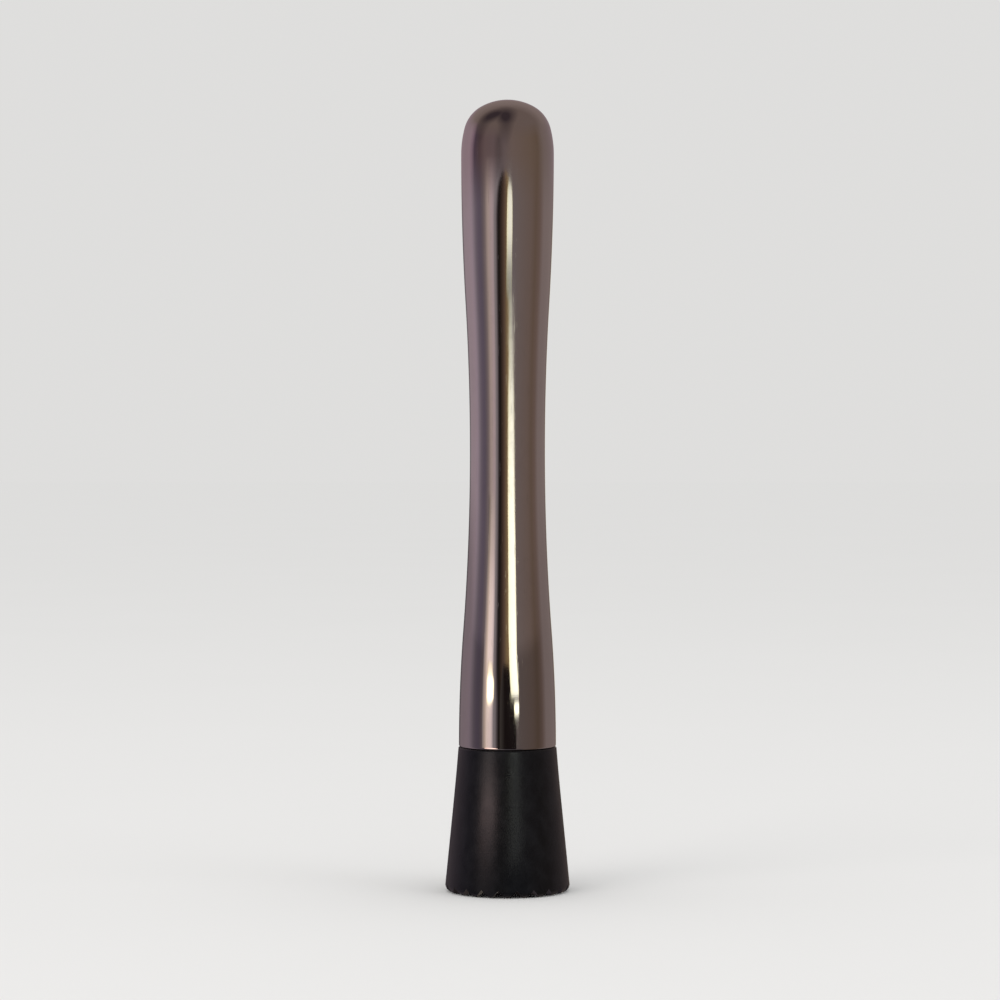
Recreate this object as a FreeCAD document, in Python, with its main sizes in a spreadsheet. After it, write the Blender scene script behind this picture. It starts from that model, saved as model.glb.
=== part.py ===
import FreeCAD, Part
import math
import os

import Sketcher
from FreeCAD import Placement, Rotation, Vector

# A bar muddler that stands on its toothed head.
#
# The handle is a hollow steel shell, open only at its mouth, where a turned plug closes it. A
# threaded stud is fixed in the plug, and the moulded head screws up onto it by a brass insert.
# A sealing ring round the head's spigot keeps juice out of the joint.
#
# Frame: millimetres, +Z up the handle, the origin on the axis in the plane of the tooth tips.

SIZES = [
    # name, millimetres unless said otherwise, what it is
    ("overall_length", 203, "tooth tips to crown"),
    ("mouth_diameter", 25, "outside of the handle where it meets the head"),
    ("waist_diameter", 19.3, "outside of the handle at its narrowest, midway up the grip"),
    ("bulge_diameter", 23.8, "outside of the handle at its widest, under the dome"),
    ("flare_height", 30, "rounded-out part of the handle above the mouth"),
    ("bulge_height", 38, "rounded-out part of the handle below the bulge"),
    ("dome_share", 1.18, "bulge to crown, as a share of the bulge's radius"),
    ("crown_share", 1.17, "radius of the dome's top, as a share of the bulge's radius"),
    ("corner_share", 0.74, "radius between the dome's top and side, as a share of the bulge's radius"),
    ("side_share", 2.27, "radius of the dome's side, as a share of the bulge's radius"),
    ("shell_wall", 1, "sheet that the handle is drawn from"),
    ("rim_round", 0.6, "outer edge of the handle's mouth"),
    ("plug_length", 14, "closing plug, and the seat reamed for it"),
    ("plug_wall", 2.5, "plug, between the shell and the socket"),
    ("plug_chamfer", 0.5, "edges of the plug"),
    ("socket_depth", 5, "socket in the plug that takes the head's spigot"),
    ("thread_share", 0.45, "thread's diameter in whole millimetres, as a share of the socket's"),
    ("thread_pitch", 1.25, "one turn of the thread"),
    ("thread_clearance", 0.1, "radial gap between the stud and what it screws into"),
    ("stud_reach", 15, "stud below the floor of the socket"),
    ("stud_setback", 0.5, "stud's upper end below the top of the plug"),
    ("stud_chamfer", 0.8, "ends of the stud"),
    ("drive_flats", 4, "hexagon key socket in the stud's lower end, across its flats"),
    ("drive_depth", 4, "depth of that key socket"),
    ("head_length", 37, "tooth tips to shoulder"),
    ("shoulder_step", 0.1, "head's shoulder beyond the handle's mouth, on the radius"),
    ("neck_share", 0.34, "widening in the hollow neck, as a share of the head's whole widening"),
    ("neck_height", 13, "hollow neck, below the shoulder"),
    ("face_diameter", 32, "head at its widest, just above the teeth"),
    ("shoulder_round", 0.4, "outer edge of the shoulder"),
    ("corner_round", 1.6, "outer edge of the toothed face"),
    ("spigot_clearance", 0.15, "radial gap between spigot and socket"),
    ("spigot_gap", 0.4, "gap between the spigot's top and the socket's floor"),
    ("spigot_chamfer", 0.5, "top edge of the spigot"),
    ("seal_section", 1.7, "thickness of the sealing ring"),
    ("seal_clearance", 0.08, "gap round the ring, at the socket wall and at the gland floor"),
    ("gland_room", 0.3, "groove that holds the ring, wider than it on each side"),
    ("insert_cover", 0.8, "plastic between the ring's groove and the insert's corners"),
    ("flange_overhang", 1.2, "insert's flange beyond its corners, which keeps it in the head"),
    ("flange_thickness", 2, "thickness of that flange"),
    ("stud_end_gap", 0.8, "room below the stud in the insert's blind hole"),
    ("insert_floor", 1.6, "metal below that hole"),
    ("tooth_depth", 2, "height of the teeth"),
    ("tooth_land", 0.5, "flat on each tooth tip"),
    ("rim_teeth", 22, "number of teeth in the outermost ring"),
]
TOOTH_RINGS = 4  # rings round the centre tooth
MARGIN = 1.0  # how far a cutting outline runs past the face that it opens
SAME_PLACE = 1e-4  # two circles nearer than this are the same edge

doc = FreeCAD.newDocument("muddler")
sheet = doc.addObject("Spreadsheet::Sheet", "sizes")
for row, (alias, size, note) in enumerate(SIZES, start=1):
    sheet.set(f"A{row}", alias)
    sheet.set(f"B{row}", str(size))
    sheet.setAlias(f"B{row}", alias)
    sheet.set(f"C{row}", note)
doc.recompute()

# Levels, radii and lengths that more than one piece uses, as formulas of the sheet's sizes.
SEAM = "sizes.head_length"
MOUTH_R = "(sizes.mouth_diameter / 2)"
WAIST_R = "(sizes.waist_diameter / 2)"
BULGE_R = "(sizes.bulge_diameter / 2)"
BULGE = f"(sizes.overall_length - sizes.dome_share * {BULGE_R})"
WAIST = f"(({SEAM} + {BULGE}) / 2)"
DOME_RADII = [f"(sizes.{name}_share * {BULGE_R})" for name in ("crown", "corner", "side")]

SEAT_R = f"({MOUTH_R} - sizes.shell_wall)"
SOCKET_R = f"({SEAT_R} - sizes.plug_wall)"
SPIGOT_R = f"({SOCKET_R} - sizes.spigot_clearance)"
SPIGOT_TOP = f"({SEAM} + sizes.socket_depth - sizes.spigot_gap)"
SEAL_R = f"({SOCKET_R} - sizes.seal_clearance - sizes.seal_section / 2)"
SEAL_LEVEL = f"({SEAM} + (sizes.socket_depth - sizes.spigot_gap) / 2)"
GLAND_R = f"({SOCKET_R} - 2 * sizes.seal_clearance - sizes.seal_section)"

THREAD_R = f"(round(2 * sizes.thread_share * {SOCKET_R}) / 2)"
THREAD_DEPTH = "(sizes.thread_pitch * 5 * sqrt(3) / 16)"
THREAD_RUNOUT = "(sizes.thread_pitch / 16)"
TAPPED_R = f"({THREAD_R} - {THREAD_DEPTH} + sizes.thread_clearance)"
LEAD_IN = f"({THREAD_DEPTH} + sizes.thread_clearance)"
STUD_BASE = f"({SEAM} + sizes.socket_depth - sizes.stud_reach)"
STUD_LENGTH = "(sizes.stud_reach + sizes.plug_length - sizes.socket_depth - sizes.stud_setback)"
INSERT_BASE = f"({STUD_BASE} - sizes.stud_end_gap - sizes.insert_floor)"
INSERT_LENGTH = f"({SPIGOT_TOP} - {INSERT_BASE})"
INSERT_FLATS = f"(({GLAND_R} - sizes.insert_cover) * sqrt(3))"
FLANGE_R = f"({GLAND_R} - sizes.insert_cover + sizes.flange_overhang)"

SHOULDER_R = f"({MOUTH_R} + sizes.shoulder_step)"
FACE_R = "(sizes.face_diameter / 2)"
NECK_R = f"({SHOULDER_R} + sizes.neck_share * ({FACE_R} - {SHOULDER_R}))"
NECK_LEVEL = f"({SEAM} - sizes.neck_height)"
SIDE_SLOPE = f"(({FACE_R} - {NECK_R}) / ({NECK_LEVEL} - sizes.corner_round))"
CORNER_R = f"({FACE_R} + sizes.corner_round * {SIDE_SLOPE})"
RIM_TIP_R = f"({FACE_R} - sizes.corner_round - sizes.tooth_land / 2)"
RING_PITCH = f"({RIM_TIP_R} / {TOOTH_RINGS})"


def value(formula):
    """A formula's value now, as a plain number."""
    found = sheet.evalExpression(str(formula))
    return float(getattr(found, "Value", found))


def origin_feature(body, role):
    """A body's own origin plane or axis."""
    return next(f for f in body.Origin.OriginFeatures if f.Role == role)


def new_body(label, level="0"):
    """An empty body whose own origin stands on the axis at that level."""
    body = doc.addObject("PartDesign::Body", label)
    body.Label = label
    body.setExpression("Placement.Base.z", level)
    return body


def new_sketch(body, name, plane="XZ_Plane", offset=None):
    sketch = body.newObject("Sketcher::SketchObject", name)
    sketch.AttachmentSupport = (origin_feature(body, plane), [""])
    sketch.MapMode = "FlatFace"
    if offset is not None:
        sketch.setExpression("AttachmentOffset.Base.z", offset)
    return sketch


def hold(sketch, geometry, point, x, y):
    """Ties a point of the sketch to two formulas."""
    if x == "0" and y == "0":
        sketch.addConstraint(Sketcher.Constraint("Coincident", geometry, point, -1, 1))
        return
    for kind, formula, axis in (("DistanceX", x, -2), ("DistanceY", y, -1)):
        if formula == "0":
            sketch.addConstraint(Sketcher.Constraint("PointOnObject", geometry, point, axis))
        else:
            n = sketch.addConstraint(
                Sketcher.Constraint(kind, -1, 1, geometry, point, value(formula))
            )
            sketch.setExpression(f"Constraints[{n}]", str(formula))


def set_radius(sketch, geometry, formula):
    n = sketch.addConstraint(Sketcher.Constraint("Radius", geometry, value(formula)))
    sketch.setExpression(f"Constraints[{n}]", str(formula))


def add_line(sketch, start, end):
    return sketch.addGeometry(Part.LineSegment(Vector(*start, 0), Vector(*end, 0)))


def add_arc(sketch, start, end, centre):
    """The short arc from start to end. Gives its number, its start's point and its end's point."""
    angles = [math.atan2(p[1] - centre[1], p[0] - centre[0]) for p in (start, end)]
    turn = (angles[1] - angles[0]) % math.tau
    forward = turn < math.pi
    if not forward:
        angles.reverse()
    circle = Part.Circle(Vector(*centre, 0), Vector(0, 0, 1), math.dist(start, centre))
    geometry = sketch.addGeometry(Part.ArcOfCircle(circle, *angles))
    return (geometry, 1, 2) if forward else (geometry, 2, 1)


def join(sketch, one, other, kind="Coincident"):
    """The last point of one piece of outline on the first point of the next."""
    sketch.addConstraint(Sketcher.Constraint(kind, one[0], one[2], other[0], other[1]))


def polygon(sketch, corners):
    """A closed outline of straight lines through corners given as formulas."""
    places = [(value(x), value(y)) for x, y in corners]
    lines = []
    for n, place in enumerate(places):
        line = add_line(sketch, place, places[(n + 1) % len(places)])
        lines.append((line, 1, 2))
        hold(sketch, line, 1, *corners[n])
    for n, line in enumerate(lines):
        join(sketch, line, lines[(n + 1) % len(lines)])


def circle(sketch, radius, x="0"):
    """A circle on the sketch's horizontal axis."""
    centre = Vector(value(x), 0, 0)
    ring = sketch.addGeometry(Part.Circle(centre, Vector(0, 0, 1), value(radius)))
    hold(sketch, ring, 3, x, "0")
    set_radius(sketch, ring, radius)


def hexagon(sketch, across_flats):
    """A hexagon about the sketch's origin, with two corners on the X axis."""
    corner = f"({across_flats} / sqrt(3))"
    half = f"({across_flats} / 2)"
    upper = [(f"({corner} / 2)", half), (f"(-{corner} / 2)", half)]
    lower = [(f"(-{corner} / 2)", f"(-{half})"), (f"({corner} / 2)", f"(-{half})")]
    polygon(sketch, [(corner, "0"), *upper, (f"(-{corner})", "0"), *lower])


def turned(body, name, sketch, cut=False):
    """The sketch turned round the body's axis, as material or as a cut."""
    feature = body.newObject("PartDesign::Groove" if cut else "PartDesign::Revolution", name)
    feature.Profile = sketch
    feature.ReferenceAxis = (sketch, ["V_Axis"])
    feature.Angle = 360
    return feature


def raised(body, name, sketch, length):
    feature = body.newObject("PartDesign::Pad", name)
    feature.Profile = sketch
    feature.setExpression("Length", length)
    return feature


def sunk(body, name, sketch, length):
    """Cuts the sketch's outline back from its plane by that length."""
    feature = body.newObject("PartDesign::Pocket", name)
    feature.Profile = sketch
    feature.setExpression("Length", length)
    return feature


def edges_at(feature, *places):
    """Names of a feature's whole circular edges at these (radius, level) places."""
    found = []
    for radius, level in places:
        for n, edge in enumerate(feature.Shape.Edges, start=1):
            if edge.Degenerated or not isinstance(edge.Curve, Part.Circle):
                continue
            off = math.hypot(edge.Curve.Radius - value(radius), edge.Curve.Center.z - value(level))
            if off < SAME_PLACE and abs(edge.Curve.Axis.z) > 1 - SAME_PLACE:
                found.append(f"Edge{n}")
    if len(found) != len(places):
        raise RuntimeError(f"{feature.Label} has edges {found} at {places}")
    return found


def eased(body, name, base, size, *places, kind="Fillet"):
    """Rounds or chamfers the base's circular edges at these places."""
    doc.recompute()
    feature = body.newObject(f"PartDesign::{kind}", name)
    feature.Base = (base, edges_at(base, *places))
    feature.setExpression("Radius" if kind == "Fillet" else "Size", size)
    return feature


def repeated(body, name, feature, count):
    pattern = body.newObject("PartDesign::PolarPattern", name)
    pattern.Originals = [feature]
    pattern.Axis = (origin_feature(body, "Z_Axis"), [""])
    pattern.Angle = 360
    pattern.setExpression("Occurrences", count)
    body.Tip = pattern
    return pattern


def dome_points(crown, corner, side, bulge_r, bulge, top):
    """Where the dome's three arcs meet: crown to corner, the corner's centre, corner to side."""
    side_centre = (bulge_r - side, bulge)
    crown_centre = (0, top - crown)
    gap = math.dist(side_centre, crown_centre)
    way = [(b - a) / gap for a, b in zip(side_centre, crown_centre)]
    along = ((side - corner) ** 2 - (crown - corner) ** 2 + gap**2) / (2 * gap)
    across = math.sqrt((side - corner) ** 2 - along**2)
    centre = (
        side_centre[0] + along * way[0] - across * way[1],
        side_centre[1] + along * way[1] + across * way[0],
    )

    def beyond(start, radius):
        reach = radius / math.dist(start, centre)
        return tuple(a + (b - a) * reach for a, b in zip(start, centre))

    return beyond(crown_centre, crown), centre, beyond(side_centre, side)


def bend(sketch, start, end, level_end):
    """An arc between two held points, upright where it reaches its level end."""
    a, b = [(value(x), value(y)) for x, y in (start, end)]
    flat, far = (b, a) if level_end == "end" else (a, b)
    out = flat[0] - far[0]
    radius = (out**2 + (flat[1] - far[1]) ** 2) / (2 * out)
    piece = add_arc(sketch, a, b, (flat[0] - radius, flat[1]))
    point = piece[2] if level_end == "end" else piece[1]
    sketch.addConstraint(Sketcher.Constraint("Horizontal", piece[0], 3, piece[0], point))
    hold(sketch, piece[0], piece[1], *start)
    return piece


def handle_outline(sketch, inset="0"):
    """Half the handle's form, from mouth to dome, closed along the axis.

    An inset draws the same form that much further in, for the inside of the shell.
    """
    mouth_r, waist_r, bulge_r = [f"({radius} - {inset})" for radius in (MOUTH_R, WAIST_R, BULGE_R)]
    crown = f"(sizes.overall_length - {inset})"
    flare_share = f"(sizes.flare_height / ({WAIST} - {SEAM}))"
    bulge_share = f"(sizes.bulge_height / ({BULGE} - {WAIST}))"
    mouth = (mouth_r, SEAM)
    waist = (waist_r, WAIST)
    bulge = (bulge_r, BULGE)
    # Two arcs with upright ends meet on the straight line between those ends.
    flare_top = (
        f"({mouth_r} - {flare_share} * ({mouth_r} - {waist_r}))",
        f"({SEAM} + sizes.flare_height)",
    )
    bulge_foot = (
        f"({bulge_r} - {bulge_share} * ({bulge_r} - {waist_r}))",
        f"({BULGE} - sizes.bulge_height)",
    )
    flare = bend(sketch, mouth, flare_top, "start")
    lower_waist = bend(sketch, flare_top, waist, "end")
    upper_waist = bend(sketch, waist, bulge_foot, "start")
    bulge_arc = bend(sketch, bulge_foot, bulge, "end")

    radii = [f"({radius} - {inset})" for radius in DOME_RADII]
    crown_r, corner_r, side_r = [value(radius) for radius in radii]
    top = value(crown)
    bulge_place = (value(bulge_r), value(BULGE))
    crown_end, corner_centre, side_end = dome_points(crown_r, corner_r, side_r, *bulge_place, top)
    side = add_arc(sketch, bulge_place, side_end, (bulge_place[0] - side_r, bulge_place[1]))
    corner = add_arc(sketch, side_end, crown_end, corner_centre)
    cap = add_arc(sketch, crown_end, (0, top), (0, top - crown_r))
    hold(sketch, side[0], side[1], *bulge)
    sketch.addConstraint(Sketcher.Constraint("Horizontal", side[0], 3, side[0], side[1]))
    for piece, radius in zip((cap, corner, side), radii):
        set_radius(sketch, piece[0], radius)
    join(sketch, side, corner, "Tangent")
    join(sketch, corner, cap, "Tangent")
    sketch.addConstraint(Sketcher.Constraint("PointOnObject", cap[0], 3, -2))
    hold(sketch, cap[0], cap[2], "0", crown)

    axis = (add_line(sketch, (0, top), (0, value(SEAM))), 1, 2)
    base = (add_line(sketch, (0, value(SEAM)), (value(mouth_r), value(SEAM))), 1, 2)
    hold(sketch, base[0], 1, "0", SEAM)
    chain = [flare, lower_waist, upper_waist, bulge_arc, side]
    for one, other in zip(chain, chain[1:]):
        join(sketch, one, other)
    for one, other in ((cap, axis), (axis, base), (base, flare)):
        join(sketch, one, other)


def head_outline(sketch):
    """Half the head's outside with its spigot, closed along the axis."""
    corners = [
        ("0", "0"),
        (CORNER_R, "0"),
        (NECK_R, NECK_LEVEL),
        (SHOULDER_R, SEAM),
        (SPIGOT_R, SEAM),
        (SPIGOT_R, SPIGOT_TOP),
        ("0", SPIGOT_TOP),
    ]
    places = [(value(x), value(y)) for x, y in corners]
    foot, neck, top = places[1:4]
    # The neck's arc carries on from the straight side, so its centre is square to that side.
    side = math.dist(foot, neck)
    square = ((neck[1] - foot[1]) / side, (foot[0] - neck[0]) / side)
    reach = [b - a for a, b in zip(neck, top)]
    radius = math.dist(neck, top) ** 2 / (2 * sum(a * b for a, b in zip(square, reach)))
    centre = tuple(a + radius * b for a, b in zip(neck, square))
    pieces = []
    for n, start in enumerate(places):
        end = places[(n + 1) % len(places)]
        if start == neck:
            pieces.append(add_arc(sketch, neck, top, centre))
        else:
            pieces.append((add_line(sketch, start, end), 1, 2))
        hold(sketch, pieces[-1][0], pieces[-1][1], *corners[n])
    for n, piece in enumerate(pieces):
        after = pieces[(n + 1) % len(pieces)]
        join(sketch, piece, after, "Tangent" if n == 1 else "Coincident")


def threaded(body, name, crest, root, start, length):
    """Cuts a thread whose groove is a trapezium, wide at the crest, narrow at the root.

    Each is a radius with half the groove's width there.
    """
    sketch = new_sketch(body, f"{name}_outline")
    (crest_r, crest_half), (root_r, root_half) = crest, root
    polygon(
        sketch,
        [
            (crest_r, f"({start} - {crest_half})"),
            (root_r, f"({start} - {root_half})"),
            (root_r, f"({start} + {root_half})"),
            (crest_r, f"({start} + {crest_half})"),
        ],
    )
    helix = body.newObject("PartDesign::SubtractiveHelix", name)
    helix.Profile = sketch
    helix.ReferenceAxis = (sketch, ["V_Axis"])
    helix.Mode = "pitch-height-angle"
    helix.setExpression("Pitch", "sizes.thread_pitch")
    helix.setExpression("Height", length)
    return helix


def tapped(body, name, start, length):
    """The thread inside a hole, clear of the stud by the thread's clearance."""
    mouth_half = f"(sizes.thread_pitch * 3 / 8 + {THREAD_RUNOUT} / sqrt(3))"
    threaded(
        body,
        name,
        (f"({TAPPED_R} - {THREAD_RUNOUT})", mouth_half),
        (f"({THREAD_R} + sizes.thread_clearance)", "(sizes.thread_pitch / 16)"),
        start,
        length,
    )


def make_handle_shell():
    body = new_body("handle_shell")
    outside = new_sketch(body, "outside")
    handle_outline(outside)
    turned(body, "drawn_form", outside)
    inside = new_sketch(body, "inside")
    handle_outline(inside, "sizes.shell_wall")
    turned(body, "hollow", inside, cut=True)
    seat = new_sketch(body, "seat_outline", "XY_Plane", f"({SEAM} + sizes.plug_length)")
    circle(seat, SEAT_R)
    seat_cut = sunk(body, "seat", seat, "sizes.plug_length")
    eased(body, "mouth_edge", seat_cut, "sizes.rim_round", (MOUTH_R, SEAM))
    return body


def make_mouth_plug():
    body = new_body("mouth_plug", SEAM)
    section = new_sketch(body, "section")
    polygon(
        section,
        [
            (SOCKET_R, "0"),
            (SEAT_R, "0"),
            (SEAT_R, "sizes.plug_length"),
            (TAPPED_R, "sizes.plug_length"),
            (TAPPED_R, "sizes.socket_depth"),
            (SOCKET_R, "sizes.socket_depth"),
        ],
    )
    solid = turned(body, "turned_form", section)
    corners = [(SOCKET_R, "0"), (SEAT_R, "sizes.plug_length")]
    edges = eased(body, "chamfers", solid, "sizes.plug_chamfer", *corners, kind="Chamfer")
    hole_ends = [(TAPPED_R, "sizes.plug_length"), (TAPPED_R, "sizes.socket_depth")]
    eased(body, "countersinks", edges, LEAD_IN, *hole_ends, kind="Chamfer")
    # The grooves of the plug and the insert follow the stud's ridge, half a pitch from its groove.
    turns = "floor(sizes.stud_reach / sizes.thread_pitch)"
    start = f"({STUD_BASE} - {SEAM} + ({turns} - 1.5) * sizes.thread_pitch)"
    web = "(sizes.plug_length - sizes.socket_depth + 3 * sizes.thread_pitch)"
    tapped(body, "thread", start, web)
    return body


def make_threaded_stud():
    body = new_body("threaded_stud", STUD_BASE)
    section = new_sketch(body, "section", "XY_Plane")
    circle(section, THREAD_R)
    bar = raised(body, "bar", section, STUD_LENGTH)
    ends = [(THREAD_R, "0"), (THREAD_R, STUD_LENGTH)]
    eased(body, "ends", bar, "sizes.stud_chamfer", *ends, kind="Chamfer")
    drive = new_sketch(body, "drive_outline", "XY_Plane", "sizes.drive_depth")
    hexagon(drive, "sizes.drive_flats")
    sunk(body, "drive", drive, "sizes.drive_depth")
    mouth_half = f"(sizes.thread_pitch * 7 / 16 + {THREAD_RUNOUT} / sqrt(3))"
    threaded(
        body,
        "thread",
        (f"({THREAD_R} + {THREAD_RUNOUT})", mouth_half),
        (f"({THREAD_R} - {THREAD_DEPTH})", "(sizes.thread_pitch / 8)"),
        "(-sizes.thread_pitch)",
        f"({STUD_LENGTH} + 2 * sizes.thread_pitch)",
    )
    return body


def make_head_insert():
    body = new_body("head_insert", INSERT_BASE)
    barrel = new_sketch(body, "barrel_outline", "XY_Plane")
    hexagon(barrel, INSERT_FLATS)
    raised(body, "barrel", barrel, INSERT_LENGTH)
    flange = new_sketch(body, "flange_outline", "XY_Plane")
    circle(flange, FLANGE_R)
    raised(body, "flange", flange, "sizes.flange_thickness")
    # Below the thread the hole is as wide as the thread's root, so that the stud's end runs clear.
    relief_r = f"({THREAD_R} + sizes.thread_clearance)"
    thread_foot = f"({STUD_BASE} - {INSERT_BASE} + sizes.thread_pitch)"
    hole = new_sketch(body, "hole_outline")
    polygon(
        hole,
        [
            ("0", "sizes.insert_floor"),
            (relief_r, "sizes.insert_floor"),
            (relief_r, thread_foot),
            (TAPPED_R, thread_foot),
            (TAPPED_R, INSERT_LENGTH),
            ("0", INSERT_LENGTH),
        ],
    )
    hole_cut = turned(body, "hole", hole, cut=True)
    eased(body, "countersink", hole_cut, LEAD_IN, (TAPPED_R, INSERT_LENGTH), kind="Chamfer")
    start = f"({STUD_BASE} - {INSERT_BASE} + sizes.thread_pitch / 2)"
    tapped(body, "thread", start, f"({INSERT_LENGTH} + sizes.thread_pitch)")
    return body


def make_muddling_head():
    body = new_body("muddling_head")
    outside = new_sketch(body, "outside")
    head_outline(outside)
    form = turned(body, "moulded_form", outside)
    corner = eased(body, "face_edge", form, "sizes.corner_round", (CORNER_R, "0"))
    shoulder = eased(body, "shoulder_edge", corner, "sizes.shoulder_round", (SHOULDER_R, SEAM))
    eased(body, "spigot_edge", shoulder, "sizes.spigot_chamfer", (SPIGOT_R, SPIGOT_TOP), kind="Chamfer")

    gland = new_sketch(body, "gland_outline")
    half_width = "(sizes.seal_section / 2 + sizes.gland_room)"
    lower = f"({SEAL_LEVEL} - {half_width})"
    upper = f"({SEAL_LEVEL} + {half_width})"
    outer_r = f"({SPIGOT_R} + {MARGIN})"
    polygon(gland, [(GLAND_R, lower), (outer_r, lower), (outer_r, upper), (GLAND_R, upper)])
    turned(body, "gland", gland, cut=True)

    barrel = new_sketch(body, "barrel_outline", "XY_Plane", SPIGOT_TOP)
    hexagon(barrel, INSERT_FLATS)
    sunk(body, "barrel_pocket", barrel, INSERT_LENGTH)
    flange_top = f"({INSERT_BASE} + sizes.flange_thickness)"
    flange = new_sketch(body, "flange_outline")
    rim = [(FLANGE_R, INSERT_BASE), (FLANGE_R, flange_top)]
    polygon(flange, [("0", INSERT_BASE), *rim, ("0", flange_top)])
    turned(body, "flange_pocket", flange, cut=True)
    cut_teeth(body)
    return body


def notch(sketch, centre, width):
    """A V as deep as the teeth, open below the face."""
    half = f"({width} / 2)"
    polygon(
        sketch,
        [
            (f"({centre} - {half})", "0"),
            (f"({centre} - {half})", f"(-{MARGIN})"),
            (f"({centre} + {half})", f"(-{MARGIN})"),
            (f"({centre} + {half})", "0"),
            (centre, "sizes.tooth_depth"),
        ],
    )


def cut_teeth(body):
    """Ring grooves leave ridges and a centre tooth, and notches across each ridge leave its teeth."""
    grooves = new_sketch(body, "ring_grooves_outline")
    for ring in range(TOOTH_RINGS):
        notch(grooves, f"({RING_PITCH} * {ring + 0.5})", f"({RING_PITCH} - sizes.tooth_land)")
    turned(body, "ring_grooves", grooves, cut=True)
    for ring in range(1, TOOTH_RINGS + 1):
        count = f"round(sizes.rim_teeth * {ring} / {TOOTH_RINGS})"
        inner = f"({RING_PITCH} * {ring - 0.5})"
        outer = f"({RING_PITCH} * {ring + 0.5})"
        if ring == TOOTH_RINGS:
            outer = f"({CORNER_R} + {MARGIN})"
        pitch = f"(2 * pi * {RING_PITCH} * {ring} / {count})"
        gap = new_sketch(body, f"notch_{ring}_outline", "YZ_Plane", outer)
        notch(gap, "0", f"({pitch} - sizes.tooth_land)")
        cut = sunk(body, f"notch_{ring}", gap, f"({outer} - {inner})")
        repeated(body, f"teeth_{ring}", cut, count)


def make_seal_ring():
    body = new_body("seal_ring", SEAL_LEVEL)
    section = new_sketch(body, "section")
    circle(section, "sizes.seal_section / 2", SEAL_R)
    turned(body, "moulded_ring", section)
    return body


bodies = [
    make_handle_shell(),
    make_mouth_plug(),
    make_threaded_stud(),
    make_head_insert(),
    make_muddling_head(),
    make_seal_ring(),
]
doc.recompute()
for item in doc.Objects:
    if "Invalid" in item.State or "Error" in item.State:
        raise RuntimeError(f"{item.Label} did not rebuild: {item.State}")
os.makedirs("parts", exist_ok=True)
for body in bodies:
    if body.Shape.isNull() or not body.Shape.isValid() or len(body.Shape.Solids) != 1:
        raise RuntimeError(f"{body.Label} is not one sound solid")
    body.Shape.exportStep(f"parts/{body.Label}.step")
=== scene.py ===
import math

import bmesh
import bpy
from mathutils import Matrix, Vector


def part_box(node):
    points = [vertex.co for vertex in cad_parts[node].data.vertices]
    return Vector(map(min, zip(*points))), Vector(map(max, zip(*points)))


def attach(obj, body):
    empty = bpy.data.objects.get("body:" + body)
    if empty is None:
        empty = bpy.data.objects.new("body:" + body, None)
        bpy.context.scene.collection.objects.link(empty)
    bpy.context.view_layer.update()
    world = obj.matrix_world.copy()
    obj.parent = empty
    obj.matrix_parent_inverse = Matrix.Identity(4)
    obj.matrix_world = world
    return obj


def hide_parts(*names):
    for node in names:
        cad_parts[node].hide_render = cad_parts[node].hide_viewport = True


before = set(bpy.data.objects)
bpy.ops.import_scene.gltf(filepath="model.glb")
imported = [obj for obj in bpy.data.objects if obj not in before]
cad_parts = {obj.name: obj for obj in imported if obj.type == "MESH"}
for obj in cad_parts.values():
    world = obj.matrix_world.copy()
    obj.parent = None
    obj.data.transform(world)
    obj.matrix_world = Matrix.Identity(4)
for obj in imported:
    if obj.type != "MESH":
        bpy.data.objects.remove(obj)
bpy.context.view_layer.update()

bl_info = {
    "name": "Bar Muddler",
    "version": (1, 0, 0),
    "blender": (4, 5, 0),
    "location": "View3D > Sidebar > Muddler",
    "description": "A steel-handled bar muddler with a screw-on toothed head",
    "category": "Object",
}

# ---------------------------------------------------------------- sizes from the frame

MM = 0.001
SHELL_LOW, SHELL_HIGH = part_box("handle_shell")
PLUG_LOW, PLUG_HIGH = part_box("mouth_plug")
RING_LOW, RING_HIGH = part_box("seal_ring")
SEAM = SHELL_LOW.z
TOP = SHELL_HIGH.z


# ---------------------------------------------------------------- properties


def length(name, description, default):
    """A length that a user may change, in metres."""
    return bpy.props.FloatProperty(
        name=name,
        description=description,
        default=default,
        precision=5,
        subtype="DISTANCE",
        unit="LENGTH",
    )


def colour(name, description, default):
    """A linear colour."""
    return bpy.props.FloatVectorProperty(
        name=name, description=description, default=default, subtype="COLOR", size=3, min=0, max=1
    )


def factor(name, description, default):
    """A share from 0 to 1."""
    return bpy.props.FloatProperty(
        name=name, description=description, default=default, subtype="FACTOR", min=0, max=1
    )


class HandleSizes(bpy.types.PropertyGroup):
    """Sizes of the handle's shell."""

    mouth_radius: length("Mouth radius", "Outside of the handle at the seam", SHELL_HIGH.x)
    waist_radius: length("Waist radius", "Outside of the handle at its narrowest", 9.65 * MM)
    bulge_radius: length("Bulge radius", "Outside of the handle below the dome", 11.9 * MM)
    flare_height: length("Flare height", "Rounded-out part above the mouth", 30 * MM)
    bulge_height: length("Bulge height", "Rounded-out part below the bulge", 38 * MM)
    wall: length("Wall", "Sheet the shell is drawn from", 1 * MM)
    rim_round: length("Rim rounding", "Outer edge of the mouth", 0.6 * MM)
    seat_radius: length("Seat radius", "Reamed seat for the closing plug", PLUG_HIGH.x)
    seat_height: length("Seat height", "Length of that seat", PLUG_HIGH.z - PLUG_LOW.z)


class RingSizes(bpy.types.PropertyGroup):
    """Sizes of the sealing ring."""

    section: length("Section", "Thickness of the ring", RING_HIGH.z - RING_LOW.z)
    flash: length("Parting line", "Height of the mould's parting line", 0.03 * MM)


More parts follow.
